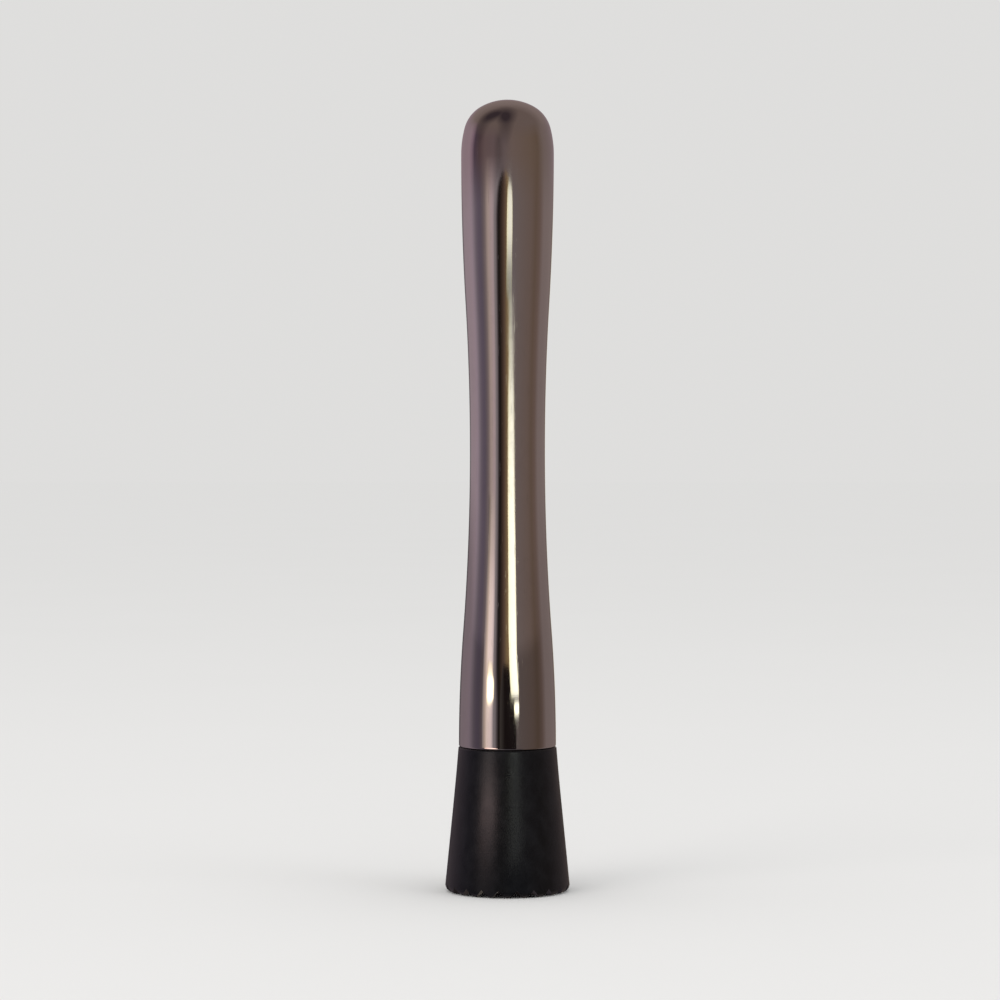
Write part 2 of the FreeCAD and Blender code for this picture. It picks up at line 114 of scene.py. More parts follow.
class Finishes(bpy.types.PropertyGroup):
    """Colours and finishes."""

    steel: colour("Polished steel", "Colour of the handle", (0.62, 0.6, 0.59))
    steel_roughness: factor("Polish", "Roughness of the polished steel", 0.062)
    turned_steel: colour("Turned steel", "Colour of the plug", (0.6, 0.6, 0.61))
    stud_steel: colour("Stud steel", "Colour of the threaded stud", (0.56, 0.56, 0.58))
    brass: colour("Brass", "Colour of the insert", (0.88, 0.64, 0.28))
    plastic: colour("Black plastic", "Colour of the moulded head", (0.0042, 0.0042, 0.0048))
    plastic_worn: colour("Worn plastic", "Colour of the scuffed tooth tips", (0.02, 0.02, 0.021))
    rubber: colour("Rubber", "Colour of the sealing ring", (0.02, 0.02, 0.021))


class StudioSettings(bpy.types.PropertyGroup):
    """Camera and lights."""

    distance: length("Camera distance", "From the muddler's axis", 0.8)
    height: length("Camera height", "Above the floor", 0.112)
    aim_height: length("Aim height", "Level the camera looks at", 0.1004)
    aside: length("Aim aside", "How far the aim passes the axis", -1.93 * MM)
    view_width: length("View width", "Width the picture covers at the axis", 0.2569)
    floor: colour("Floor", "Colour of the floor", (0.8, 0.795, 0.785))
    daylight: factor("Daylight", "Brightness of the even light from all round", 0.92)


PROPERTY_GROUPS = {
    "muddler_handle": HandleSizes,
    "muddler_ring": RingSizes,
    "muddler_finishes": Finishes,
    "muddler_studio": StudioSettings,
}


# ---------------------------------------------------------------- nodes


MIX_INPUTS = (0, 6, 7)  # the Mix node's share and its two colours
MIX_RESULT = 2  # its blended colour


def feed(tree, socket, given):
    """Joins a socket to another, or sets its value, a colour coming without its alpha."""
    if isinstance(given, bpy.types.NodeSocket):
        tree.links.new(given, socket)
    elif socket.type == "RGBA":
        socket.default_value = (*given, 1)
    else:
        socket.default_value = given


def add_node(tree, kind, inputs=None, **settings):
    """A shader node with its settings, and its inputs as values or as sockets to join."""
    made = tree.nodes.new(kind)
    for name, setting in settings.items():
        setattr(made, name, setting)
    for name, given in (inputs or {}).items():
        feed(tree, made.inputs[name], given)
    return made


def maths(tree, operation, *terms):
    """A sum on values or sockets."""
    return add_node(tree, "ShaderNodeMath", dict(enumerate(terms)), operation=operation).outputs[0]


def vector_maths(tree, operation, *terms):
    """The node for a sum on vectors, which gives a vector or a value."""
    return add_node(tree, "ShaderNodeVectorMath", dict(enumerate(terms)), operation=operation)


def blend_colours(tree, share, low, high):
    """The low colour at a share of 0, the high one at 1, and mixed between them."""
    inputs = dict(zip(MIX_INPUTS, (share, low, high)))
    return add_node(tree, "ShaderNodeMix", inputs, data_type="RGBA").outputs[MIX_RESULT]


def scaled(tint, share):
    """A colour at a share of its brightness."""
    return tuple(share * part for part in tint)


def ranged(tree, source, low, high, out_low=0.0, out_high=1.0):
    """The source from low to high as out_low to out_high, held at both ends."""
    inputs = {"Value": source, "From Min": low, "From Max": high, "To Min": out_low, "To Max": out_high}
    return add_node(tree, "ShaderNodeMapRange", inputs).outputs["Result"]


def stretched_noise(tree, vector, scale, size=1.0, detail=2.0, turn=(0, 0, 0)):
    """Noise whose grain is drawn out, the scale giving the grains in a metre along each axis."""
    mapping = add_node(tree, "ShaderNodeMapping", {"Vector": vector, "Rotation": turn, "Scale": scale})
    inputs = {"Vector": mapping.outputs["Vector"], "Scale": size, "Detail": detail, "Roughness": 0.55}
    return add_node(tree, "ShaderNodeTexNoise", inputs).outputs["Fac"]


def new_group(name, outputs, inputs=()):
    """A shader node group with an input for coordinates, more inputs and its outputs."""
    tree = bpy.data.node_groups.new(name, "ShaderNodeTree")
    tree.interface.new_socket("Vector", in_out="INPUT", socket_type="NodeSocketVector")
    for label, default in inputs:
        socket = tree.interface.new_socket(label, in_out="INPUT", socket_type="NodeSocketFloat")
        socket.default_value = default
    for label in outputs:
        tree.interface.new_socket(label, in_out="OUTPUT", socket_type="NodeSocketFloat")
    return tree, tree.nodes.new("NodeGroupInput").outputs, tree.nodes.new("NodeGroupOutput").inputs


def hairline_group():
    """Sparse hairline scratches in three directions, and the fine lines of a polishing wheel."""
    tree, given, out = new_group("hairlines", ("Scratches", "Polishing"), [("Amount", 0.5)])
    edge = ranged(tree, given["Amount"], 0.0, 1.0, 0.8, 0.6)
    worst = None
    for turn, scale in (((0.3, 0.5, 0.2), 1.0), ((-0.7, 0.2, 1.1), 1.4), ((1.2, -0.4, -0.6), 0.8)):
        grain = stretched_noise(tree, given["Vector"], (2600, 2600, 60), scale, 1.0, turn)
        line = ranged(tree, grain, edge, maths(tree, "ADD", edge, 0.03))
        worst = line if worst is None else maths(tree, "MAXIMUM", worst, line)
    tree.links.new(worst, out["Scratches"])
    tree.links.new(stretched_noise(tree, given["Vector"], (50, 50, 5200), 1.0, 3.0), out["Polishing"])
    return tree


def handling_group():
    """Faint smears and finger marks: where a surface is a little duller."""
    tree, given, out = new_group("handling_marks", ("Smears",))
    broad = stretched_noise(tree, given["Vector"], (70, 70, 45), 1.0, 4.0)
    fine = stretched_noise(tree, given["Vector"], (420, 420, 300), 1.0, 3.0)
    mixed = maths(tree, "MULTIPLY", ranged(tree, broad, 0.45, 0.75), ranged(tree, fine, 0.3, 0.75))
    tree.links.new(mixed, out["Smears"])
    return tree


def moulded_group():
    """The skin of moulded plastic: a fine grain, a broad mottle and the mould's turning lines."""
    tree, given, out = new_group("moulded_skin", ("Grain", "Mottle", "Lines"))
    tree.links.new(stretched_noise(tree, given["Vector"], (160, 160, 3400), 1.0, 2.0), out["Lines"])
    tree.links.new(stretched_noise(tree, given["Vector"], (2100,) * 3, 1.0, 4.0), out["Grain"])
    tree.links.new(stretched_noise(tree, given["Vector"], (330, 330, 240), 1.0, 3.0), out["Mottle"])
    return tree


def turned_group():
    """Rings that a lathe's tool leaves, across the axis."""
    tree, given, out = new_group("turning_marks", ("Marks",))
    tree.links.new(stretched_noise(tree, given["Vector"], (90, 90, 9000), 1.0, 3.0), out["Marks"])
    return tree


def use_group(tree, name, vector, **inputs):
    """The outputs of a shared effect, placed with its own values."""
    group = bpy.data.node_groups[name]
    return add_node(tree, "ShaderNodeGroup", {"Vector": vector, **inputs}, node_tree=group).outputs


def new_material(name):
    """A material's tree, its surface shader and the object's own coordinates."""
    material = bpy.data.materials.new(name)
    material.use_nodes = True
    tree = material.node_tree
    shader = tree.nodes["Principled BSDF"]
    place = tree.nodes.new("ShaderNodeTexCoord").outputs["Object"]
    return material, tree, shader, place


def bump(tree, shader, *layers):
    """Lays heights over each other, each with its depth in metres, and gives them to the shader."""
    normal = None
    for height, depth in layers:
        inputs = {"Height": height, "Distance": depth, "Strength": 1.0}
        if normal is not None:
            inputs["Normal"] = normal
        normal = add_node(tree, "ShaderNodeBump", inputs).outputs["Normal"]
    tree.links.new(normal, shader.inputs["Normal"])


SCRATCHED = 0.35  # how many hairlines the handle has, from none at 0
SMEAR_DULLING = 0.06  # added to the roughness
SCRATCH_DULLING = 0.12
WAVE_DEPTH = 0.012 * MM  # of the drawn sheet
POLISHING_DEPTH = 0.0006 * MM
SCRATCH_DEPTH = -0.002 * MM


def polished_steel(finishes):
    """Mirror-polished steel, a little duller where it is handled, with hairline scratches."""
    material, tree, shader, place = new_material("polished_steel")
    lines = use_group(tree, "hairlines", place, Amount=SCRATCHED)
    smears = use_group(tree, "handling_marks", place)["Smears"]
    clean = tuple(finishes.steel)
    smeared = blend_colours(tree, smears, clean, scaled(clean, 0.93))
    tree.links.new(smeared, shader.inputs["Base Color"])
    dull = maths(tree, "MULTIPLY_ADD", smears, SMEAR_DULLING, finishes.steel_roughness)
    rough = maths(tree, "MULTIPLY_ADD", lines["Scratches"], SCRATCH_DULLING, dull)
    tree.links.new(rough, shader.inputs["Roughness"])
    shader.inputs["Metallic"].default_value = 1.0
    waves = stretched_noise(tree, place, (110, 110, 60), 1.0, 1.0)
    bump(
        tree,
        shader,
        (waves, WAVE_DEPTH),
        (lines["Polishing"], POLISHING_DEPTH),
        (lines["Scratches"], SCRATCH_DEPTH),
    )
    return material


def turned_metal(name, tint, roughness, depth):
    """Steel or brass as it comes off a lathe, its marks cut to a depth."""
    material, tree, shader, place = new_material(name)
    marks = use_group(tree, "turning_marks", place)["Marks"]
    smears = use_group(tree, "handling_marks", place)["Smears"]
    banded = blend_colours(tree, ranged(tree, marks, 0.3, 0.7), scaled(tint, 0.8), tuple(tint))
    tree.links.new(banded, shader.inputs["Base Color"])
    rough = maths(tree, "MULTIPLY_ADD", marks, 0.12, roughness)
    tree.links.new(maths(tree, "MULTIPLY_ADD", smears, 0.15, rough), shader.inputs["Roughness"])
    shader.inputs["Metallic"].default_value = 1.0
    bump(tree, shader, (marks, depth))
    return material


SCUFFED_HEIGHT = 0.9 * MM  # how far up the teeth the scuffs reach
SCUFF_DULLING = 0.2
MOTTLE_DEPTH = 0.05 * MM
LINE_DEPTH = 0.015 * MM
GRAIN_DEPTH = 0.025 * MM


def moulded_plastic(finishes):
    """Black moulded plastic, scuffed paler on the tooth tips."""
    material, tree, shader, place = new_material("moulded_plastic")
    skin = use_group(tree, "moulded_skin", place)
    height = add_node(tree, "ShaderNodeSeparateXYZ", {"Vector": place}).outputs["Z"]
    near_tips = ranged(tree, height, 0.0, SCUFFED_HEIGHT, 1.0, 0.0)
    scuffs = maths(tree, "MULTIPLY", near_tips, ranged(tree, skin["Mottle"], 0.35, 0.65))
    base = tuple(finishes.plastic)
    mottled = ranged(tree, skin["Mottle"], 0.4, 0.75)
    skin_colour = blend_colours(tree, mottled, base, scaled(base, 1.8))
    worn = blend_colours(tree, scuffs, skin_colour, tuple(finishes.plastic_worn))
    tree.links.new(worn, shader.inputs["Base Color"])
    rough = ranged(tree, skin["Mottle"], 0.3, 0.7, 0.27, 0.37)
    tree.links.new(maths(tree, "MULTIPLY_ADD", scuffs, SCUFF_DULLING, rough), shader.inputs["Roughness"])
    shader.inputs["Specular IOR Level"].default_value = 0.44
    shader.inputs["Specular Tint"].default_value = (0.8, 0.87, 1.0, 1.0)
    bump(
        tree,
        shader,
        (skin["Mottle"], MOTTLE_DEPTH),
        (skin["Lines"], LINE_DEPTH),
        (skin["Grain"], GRAIN_DEPTH),
    )
    return material


def ring_rubber(finishes):
    """Black rubber with a faint grey bloom."""
    material, tree, shader, place = new_material("ring_rubber")
    skin = use_group(tree, "moulded_skin", place)
    base = tuple(finishes.rubber)
    bloomed = blend_colours(tree, ranged(tree, skin["Mottle"], 0.4, 0.8), base, scaled(base, 2.2))
    tree.links.new(bloomed, shader.inputs["Base Color"])
    tree.links.new(ranged(tree, skin["Grain"], 0.3, 0.7, 0.35, 0.5), shader.inputs["Roughness"])
    bump(tree, shader, (skin["Grain"], 0.01 * MM))
    return material


# ---------------------------------------------------------------- shapes

# The dome, in shares of the bulge's radius.
DOME_SHARE = 1.18  # height, from the bulge to the crown
CROWN_SHARE = 1.17  # radius of the top
CORNER_SHARE = 0.74  # radius between the top and the side
SIDE_SHARE = 2.27  # radius of the side

RIM_LEDGE = 0.2 * MM  # from the mouth's rounded rim up to the first arc of the flare
ARC_STEPS = {
    "rim": 8,
    "flare": 16,
    "lower grip": 22,
    "upper grip": 20,
    "bulge": 20,
    "side": 8,
    "corner": 18,
    "crown": 20,
}
HANDLE_STEPS = 192  # round the axis
RING_STEPS = 128
RING_SIDES = 40  # round the ring's section
SHARP_EDGES = 35  # degrees between faces
ALL_SMOOTH = 180
SAME_POINT = 1e-7


def polar(point, centre):
    """The direction of a point from a centre."""
    return math.atan2(point[1] - centre[1], point[0] - centre[0])


def arc_on(bm, last, end, centre, steps):
    """Carries an outline on from its last vertex, round a centre, to the end's direction."""
    start = (last.co.x, last.co.z)
    turn = (polar(end, centre) - polar(start, centre) + math.pi) % math.tau - math.pi
    swept = bmesh.ops.spin(
        bm,
        geom=[last],
        cent=(centre[0], 0, centre[1]),
        axis=(0, 1, 0),
        angle=-turn,
        steps=steps,
        use_duplicate=False,
    )
    return next(v for v in swept["geom_last"] if isinstance(v, bmesh.types.BMVert))


def line_on(bm, last, end):
    """Carries an outline straight on to a point."""
    vertex = bm.verts.new((end[0], 0, end[1]))
    bm.edges.new((last, vertex))
    return vertex


def upright_centre(upright, other):
    """Centre of the arc that is upright at one end and passes through the other."""
    across = upright[0] - other[0]
    radius = (across**2 + (upright[1] - other[1]) ** 2) / (2 * across)
    return (upright[0] - radius, upright[1])


def dome_centres(crown, corner, side, bulge, top):
    """Centres of the dome's crown, corner and side arcs."""
    side_centre = Vector((bulge[0] - side, bulge[1]))
    crown_centre = Vector((0, top - crown))
    gap = crown_centre - side_centre
    along = ((side - corner) ** 2 - (crown - corner) ** 2 + gap.length_squared) / (2 * gap.length)
    across = math.sqrt((side - corner) ** 2 - along**2)
    way = gap.normalized()
    corner_centre = side_centre + along * way + across * Vector((-way.y, way.x))
    return crown_centre, corner_centre, side_centre


def handle_line(bm, first, sizes, inset, start_level):
    """The handle's outline from a level near its mouth up to the top of its dome."""
    mouth = (sizes.mouth_radius - inset, SEAM)
    bulge_level = TOP - DOME_SHARE * sizes.bulge_radius
    waist = (sizes.waist_radius - inset, (SEAM + bulge_level) / 2)
    bulge = (sizes.bulge_radius - inset, bulge_level)
    flare_share = sizes.flare_height / (waist[1] - SEAM)
    bulge_share = sizes.bulge_height / (bulge_level - waist[1])
    flare_top = (mouth[0] - flare_share * (mouth[0] - waist[0]), SEAM + sizes.flare_height)
    bulge_foot = (bulge[0] - bulge_share * (bulge[0] - waist[0]), bulge_level - sizes.bulge_height)
    flare_centre = upright_centre(mouth, flare_top)
    reach = mouth[0] - flare_centre[0]
    start = (flare_centre[0] + math.sqrt(reach**2 - (start_level - SEAM) ** 2), start_level)
    last = line_on(bm, first, start)
    last = arc_on(bm, last, flare_top, flare_centre, ARC_STEPS["flare"])
    last = arc_on(bm, last, waist, upright_centre(waist, flare_top), ARC_STEPS["lower grip"])
    last = arc_on(bm, last, bulge_foot, upright_centre(waist, bulge_foot), ARC_STEPS["upper grip"])
    last = arc_on(bm, last, bulge, upright_centre(bulge, bulge_foot), ARC_STEPS["bulge"])
    radii = [share * sizes.bulge_radius - inset for share in (CROWN_SHARE, CORNER_SHARE, SIDE_SHARE)]
    crown, corner, side = dome_centres(*radii, bulge, TOP - inset)
    side_end = corner + (corner - side).normalized() * radii[1]
    crown_start = corner + (corner - crown).normalized() * radii[1]
    last = arc_on(bm, last, side_end, side, ARC_STEPS["side"])
    last = arc_on(bm, last, crown_start, corner, ARC_STEPS["corner"])
    last = arc_on(bm, last, (0, TOP - inset), crown, ARC_STEPS["crown"])
    last.co.x = 0


def turned_piece(name, bm, steps, sharp):
    """A piece made by turning an outline once round the axis."""
    bmesh.ops.spin(
        bm,
        geom=bm.verts[:] + bm.edges[:],
        cent=(0, 0, 0),
        axis=(0, 0, 1),
        angle=math.tau,
        steps=steps,
        use_merge=True,
        use_duplicate=False,
    )
    bmesh.ops.remove_doubles(bm, verts=bm.verts, dist=SAME_POINT)
    bmesh.ops.recalc_face_normals(bm, faces=bm.faces)
    return finished(name, bm, sharp)


def finished(name, bm, sharp):
    """A smooth object from the geometry, with creases where its faces meet more sharply."""
    mesh = bpy.data.meshes.new(name)
    bm.to_mesh(mesh)
    bm.free()
    mesh.shade_smooth()
    mesh.set_sharp_from_angle(angle=math.radians(sharp))
    piece = bpy.data.objects.new(name, mesh)
    bpy.context.scene.collection.objects.link(piece)
    return piece


def wear(piece, material):
    """Gives a piece this material alone."""
    piece.data.materials.clear()
    piece.data.materials.append(material)


def make_handle(sizes):
    """The hollow shell: its rounded rim and outside, then its reamed seat and inside."""
    bm = bmesh.new()
    corner = bm.verts.new((sizes.seat_radius, 0, SEAM))
    centre = (sizes.mouth_radius - sizes.rim_round, SEAM + sizes.rim_round)
    rim = line_on(bm, corner, (centre[0], SEAM))
    rim = arc_on(bm, rim, (sizes.mouth_radius, centre[1]), centre, ARC_STEPS["rim"])
    handle_line(bm, rim, sizes, 0.0, centre[1] + RIM_LEDGE)
    seat_top = SEAM + sizes.seat_height
    seat = line_on(bm, corner, (sizes.seat_radius, seat_top))
    handle_line(bm, seat, sizes, sizes.wall, seat_top)
    return turned_piece("handle_polished", bm, HANDLE_STEPS, SHARP_EDGES)


def make_ring(sizes):
    """The sealing ring, with the fine parting line of its mould round its inside."""
    radius = sizes.section / 2
    middle = (RING_HIGH.x - radius, 0, (RING_LOW.z + RING_HIGH.z) / 2)
    upright = Matrix.Translation(middle) @ Matrix.Rotation(math.radians(90), 4, "X")
    bm = bmesh.new()
    bmesh.ops.create_circle(bm, segments=RING_SIDES, radius=radius, matrix=upright)
    innermost = min(bm.verts, key=lambda vertex: vertex.co.x)
    innermost.co.x -= sizes.flash
    return turned_piece("sealing_ring", bm, RING_STEPS, ALL_SMOOTH)


# ---------------------------------------------------------------- operators


class MUDDLER_OT_finishes(bpy.types.Operator):
    """Builds the node groups that the finishes share."""

    bl_idname = "muddler.finishes"
    bl_label = "Shared finishes"

    def execute(self, context):
        for build in (hairline_group, handling_group, moulded_group, turned_group):
            build()
        return {"FINISHED"}


class MUDDLER_OT_handle(bpy.types.Operator):
    """Turns the polished shell of the handle."""

    bl_idname = "muddler.handle"
    bl_label = "Handle"

    def execute(self, context):
        piece = make_handle(context.scene.muddler_handle)
        wear(piece, polished_steel(context.scene.muddler_finishes))
        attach(piece, "handle")
        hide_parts("handle_shell")
        return {"FINISHED"}


class MUDDLER_OT_head(bpy.types.Operator):
    """Finishes the moulded, toothed head."""

    bl_idname = "muddler.head"
    bl_label = "Toothed head"

    def execute(self, context):
        wear(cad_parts["muddling_head"], moulded_plastic(context.scene.muddler_finishes))
        return {"FINISHED"}


class MUDDLER_OT_screw_joint(bpy.types.Operator):
    """Finishes the plug, the stud and the insert of the screw joint."""

    bl_idname = "muddler.screw_joint"
    bl_label = "Screw joint"

    def execute(self, context):
        finishes = context.scene.muddler_finishes
        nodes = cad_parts
        wear(nodes["mouth_plug"], turned_metal("turned_steel", finishes.turned_steel, 0.24, 0.004 * MM))
        wear(nodes["threaded_stud"], turned_metal("stud_steel", finishes.stud_steel, 0.3, 0.003 * MM))
        wear(nodes["head_insert"], turned_metal("turned_brass", finishes.brass, 0.22, 0.004 * MM))
        return {"FINISHED"}


class MUDDLER_OT_ring(bpy.types.Operator):
    """Moulds the sealing ring round the spigot."""

    bl_idname = "muddler.ring"
    bl_label = "Sealing ring"

    def execute(self, context):
        piece = make_ring(context.scene.muddler_ring)
        wear(piece, ring_rubber(context.scene.muddler_finishes))
        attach(piece, "seal")
        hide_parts("seal_ring")
        return {"FINISHED"}


# ---------------------------------------------------------------- studio

# Azimuths run from the camera's side, positive to its right. Colours are linear. The room's tones
# are given round it by azimuth, level with the muddler and above it, and then overhead.
ROOM_LEVEL = [
    (-180, (0.2, 0.17, 0.18)),
    (-173, (0.09, 0.075, 0.08)),
    (-166, (0.09, 0.075, 0.08)),
    (-158, (0.2, 0.165, 0.18)),
    (-146, (0.38, 0.3, 0.33)),
    (-114, (0.43, 0.33, 0.375)),
    (-104, (0.42, 0.325, 0.38)),
    (-96, (0.32, 0.255, 0.3)),
    (-88, (0.205, 0.165, 0.2)),
    (-80, (0.16, 0.125, 0.165)),
    (-72, (0.145, 0.115, 0.15)),
    (-65, (0.18, 0.14, 0.155)),
    (-59, (0.26, 0.2, 0.195)),
    (-51, (0.53, 0.41, 0.37)),
    (-40, (0.56, 0.43, 0.44)),
    (-34, (0.42, 0.34, 0.35)),
    (-26, (0.26, 0.22, 0.24)),
    (0, (0.2, 0.17, 0.18)),
    (30, (0.2, 0.155, 0.145)),
    (62, (0.19, 0.135, 0.115)),
    (76, (0.165, 0.112, 0.085)),
    (90, (0.19, 0.13, 0.11)),
    (104, (0.26, 0.2, 0.19)),
    (140, (0.27, 0.21, 0.2)),
    (154, (0.25, 0.19, 0.18)),
    (158, (0.14, 0.105, 0.09)),
    (164, (0.14, 0.105, 0.09)),
    (166, (0.75, 0.68, 0.56)),
    (174, (0.8, 0.72, 0.62)),
    (176, (0.3, 0.25, 0.25)),
    (180, (0.2, 0.17, 0.18)),
]
ROOM_ABOVE = [
    (-180, (0.3, 0.23, 0.25)),
    (-110, (0.38, 0.27, 0.31)),
    (-100, (0.3, 0.2, 0.25)),
    (-90, (0.1, 0.066, 0.092)),
    (-74, (0.11, 0.07, 0.075)),
    (-58, (0.17, 0.115, 0.115)),
    (-36, (0.17, 0.118, 0.12)),
    (-22, (0.115, 0.083, 0.083)),
    (-8, (0.175, 0.13, 0.128)),
    (12, (0.2, 0.145, 0.128)),
    (60, (0.185, 0.128, 0.098)),
    (80, (0.165, 0.112, 0.082)),
    (100, (0.22, 0.165, 0.15)),
    (180, (0.3, 0.23, 0.25)),
]
OVERHEAD = (0.185, 0.135, 0.12)
ROOM_RADIUS = 0.6
BEHIND = (0.27, 0.205, 0.19)  # overhead, past the muddler
BEAMS = [  # dark beams overhead: the middle of each, and how far it is drawn in along each axis
    ((-0.03, -0.2, 0.57), (1.35, 0.72, 0.3)),
    ((-0.2, -0.08, 0.53), (0.75, 1.3, 0.3)),
]
BEAM_COLOUR = (0.05, 0.035, 0.04)
# Where one tone gives way to the next, from none of it to all of it.
ABOVE_HEIGHTS = (0.203, 0.238)
OVERHEAD_HEIGHTS = (0.35, 0.45)
BEHIND_REACH = (0.02, 0.26)
BEAM_REACH = (0.26, 0.07)
LOW_HEIGHTS = (0.107, 0.085)
LOW_AZIMUTHS = (80, 105)
LOW_SHARE = 0.64  # brightness low in the room, as a share of that above
LOW_RIGHT = 0.3  # how much of that dimming reaches the right of the room

# Each card: how far it stands, its colours across it, rows of height, left and right azimuth and
# brightness, and, where a card should hardly show from above or below, its share seen steeply.
WINDOW_COLOURS = [
    (0.0, (1.0, 0.93, 0.6)),
    (0.3, (1.0, 0.97, 0.78)),
    (0.8, (1.0, 0.98, 0.84)),
    (1.0, (1.0, 0.94, 0.66)),
]
CARDS = {
    "dark_door": {
        "distance": 0.42,
        "colours": [
            (0.0, (0.33, 0.275, 0.285)),
            (0.12, (0.25, 0.215, 0.225)),
            (0.19, (0.11, 0.088, 0.09)),
            (0.26, (0.018, 0.013, 0.013)),
            (0.36, (0.02, 0.014, 0.011)),
            (0.52, (0.07, 0.043, 0.031)),
            (0.676, (0.15, 0.095, 0.065)),
            (0.8, (0.25, 0.165, 0.08)),
            (1.0, (0.34, 0.22, 0.1)),
        ],
        "rows": [
            (-0.3, -36, 17, 1),
            (0.042, -36, 17, 1),
            (0.055, -36, 12, 1),
            (0.075, -36, 6, 1),
            (0.185, -35, 6, 1),
            (0.2, -32, 7, 1),
            (0.208, -27, 5, 1),
            (0.2135, -15, -4, 1),
        ],
    },
    "dark_sill": {
        "distance": 0.41,
        "colours": [
            (0.0, (0.06, 0.05, 0.045)),
            (0.3, (0.012, 0.008, 0.008)),
            (1.0, (0.012, 0.008, 0.009)),
        ],
        "rows": [
            (-0.3, -18, 20.5, 1),
            (0.047, -18, 20.5, 1),
            (0.062, -15, 8, 1),
            (0.075, -12, 2, 1),
        ],
    },
    "bright_window": {
        "distance": 0.4,
        "colours": WINDOW_COLOURS,
        "rows": [
            (0.0465, 11, 26, 1.0),
            (0.0495, 8, 27, 2.0),
            (0.07, 5, 24, 2.0),
            (0.088, 4, 22.5, 2.0),
            (0.1075, 2.5, 23, 2.0),
            (0.111, 1, 20.5, 1.9),
            (0.1135, 0, 20, 1.9),
            (0.1165, 2, 18.5, 1.8),
            (0.119, 5, 15.5, 1.2),
            (0.1215, 5, 12, 0.5),
            (0.131, -3, 11, 0.42),
            (0.145, -3, 12, 0.55),
            (0.156, -2, 11, 0.9),
            (0.17, -2, 12, 1.25),
            (0.19, -1, 12, 1.3),
            (0.2, 0, 11, 1.2),
            (0.206, 3, 7, 0.8),
        ],
    },
    "window_foot": {
        "distance": 0.4,
        "colours": WINDOW_COLOURS,
        "rows": [
            (0.029, 18, 24, 0.5),
            (0.0325, 16, 27, 2.6),
            (0.0395, 15, 27, 3.0),
            (0.0425, 18, 26, 1.0),
        ],
    },
    "near_blind": {
        "distance": 0.12,
        "colours": [
            (0.0, (0.14, 0.115, 0.12)),
            (0.25, (0.36, 0.28, 0.23)),
            (0.45, (0.6, 0.48, 0.43)),
            (0.8, (0.58, 0.46, 0.44)),
            (1.0, (0.34, 0.28, 0.28)),
        ],
        "rows": [
            (0.02, -60, -34, 1.6),
            (0.037, -60, -34, 1.7),
            (0.068, -59, -34, 2.1),
            (0.083, -59, -34, 1.9),
            (0.093, -58, -34, 1.35),
            (0.104, -57, -34, 1.0),
        ],
    },
    "low_glow": {
        "distance": 0.05,
        "steep": 0.1,
        "colours": [
            (0.0, (0.6, 0.4, 0.33)),
            (0.25, (1.0, 0.68, 0.58)),
            (0.75, (1.0, 0.7, 0.6)),
            (1.0, (0.6, 0.42, 0.36)),
        ],
        "rows": [
            (0.008, -49, -24, 0.15),
            (0.0135, -49, -24, 0.8),
            (0.02, -50, -22, 2.1),
            (0.0255, -51, -20, 3.6),
            (0.03, -50, -22, 2.7),
            (0.033, -48, -26, 1.5),
        ],
    },
    "low_shade": {
        "distance": 0.05,
        "colours": [(0.0, (0.06, 0.055, 0.065)), (1.0, (0.05, 0.045, 0.055))],
        "rows": [(-0.02, -8, 38, 1), (0.009, -8, 38, 1), (0.0145, -3, 33, 1)],
    },
    "near_lamp": {
        "distance": 0.115,
        "colours": [
            (0.0, (0.5, 0.4, 0.24)),
            (0.25, (1.0, 0.84, 0.66)),
            (0.8, (1.0, 0.84, 0.66)),
            (1.0, (0.5, 0.42, 0.26)),
        ],
        "rows": [
            (0.0455, -48, -40, 1.3),
            (0.0485, -49.5, -32, 3.4),
            (0.0555, -49.5, -31.5, 3.6),
            (0.0585, -48.5, -34, 2.0),
            (0.0635, -47, -37, 1.4),
        ],
    },
}


def stage_piece(piece, material, reflected_only=False):
    """Gives a stage piece its material, and lets it be seen by all or only in reflections."""
    wear(piece, material)
    if reflected_only:
        for kind in ("camera", "diffuse", "shadow", "transmission", "volume_scatter"):
            setattr(piece, f"visible_{kind}", False)


def glow(name):
    """A glowing surface for the reflections."""
    material = bpy.data.materials.new(name)
    material.use_nodes = True
    tree = material.node_tree
    tree.nodes.clear()
    light = tree.nodes.new("ShaderNodeEmission")
    out = tree.nodes.new("ShaderNodeOutputMaterial")
    tree.links.new(light.outputs["Emission"], out.inputs["Surface"])
    return material, tree, light


def fill_ramp(tree, share, stops):
    """A colour ramp through the stops, each a share and a colour."""
    ramp = tree.nodes.new("ShaderNodeValToRGB")
    tree.links.new(share, ramp.inputs["Fac"])
    elements = ramp.color_ramp.elements
    elements.remove(elements[-1])
    for n, (place, tint) in enumerate(stops):
        stop = elements[0] if n == 0 else elements.new(place)
        stop.position = place
        stop.color = (*tint, 1)
    return ramp.outputs["Color"]


def near_a_beam(tree, place):
    """How much of the nearest dark beam shows at a place in the room."""
    nearest = None
    for middle, drawn_in in BEAMS:
        away = vector_maths(tree, "SUBTRACT", place, middle).outputs["Vector"]
        away = vector_maths(tree, "MULTIPLY", away, drawn_in).outputs["Vector"]
        away = vector_maths(tree, "LENGTH", away).outputs["Value"]
        nearest = away if nearest is None else maths(tree, "MINIMUM", nearest, away)
    return ranged(tree, nearest, *BEAM_REACH)


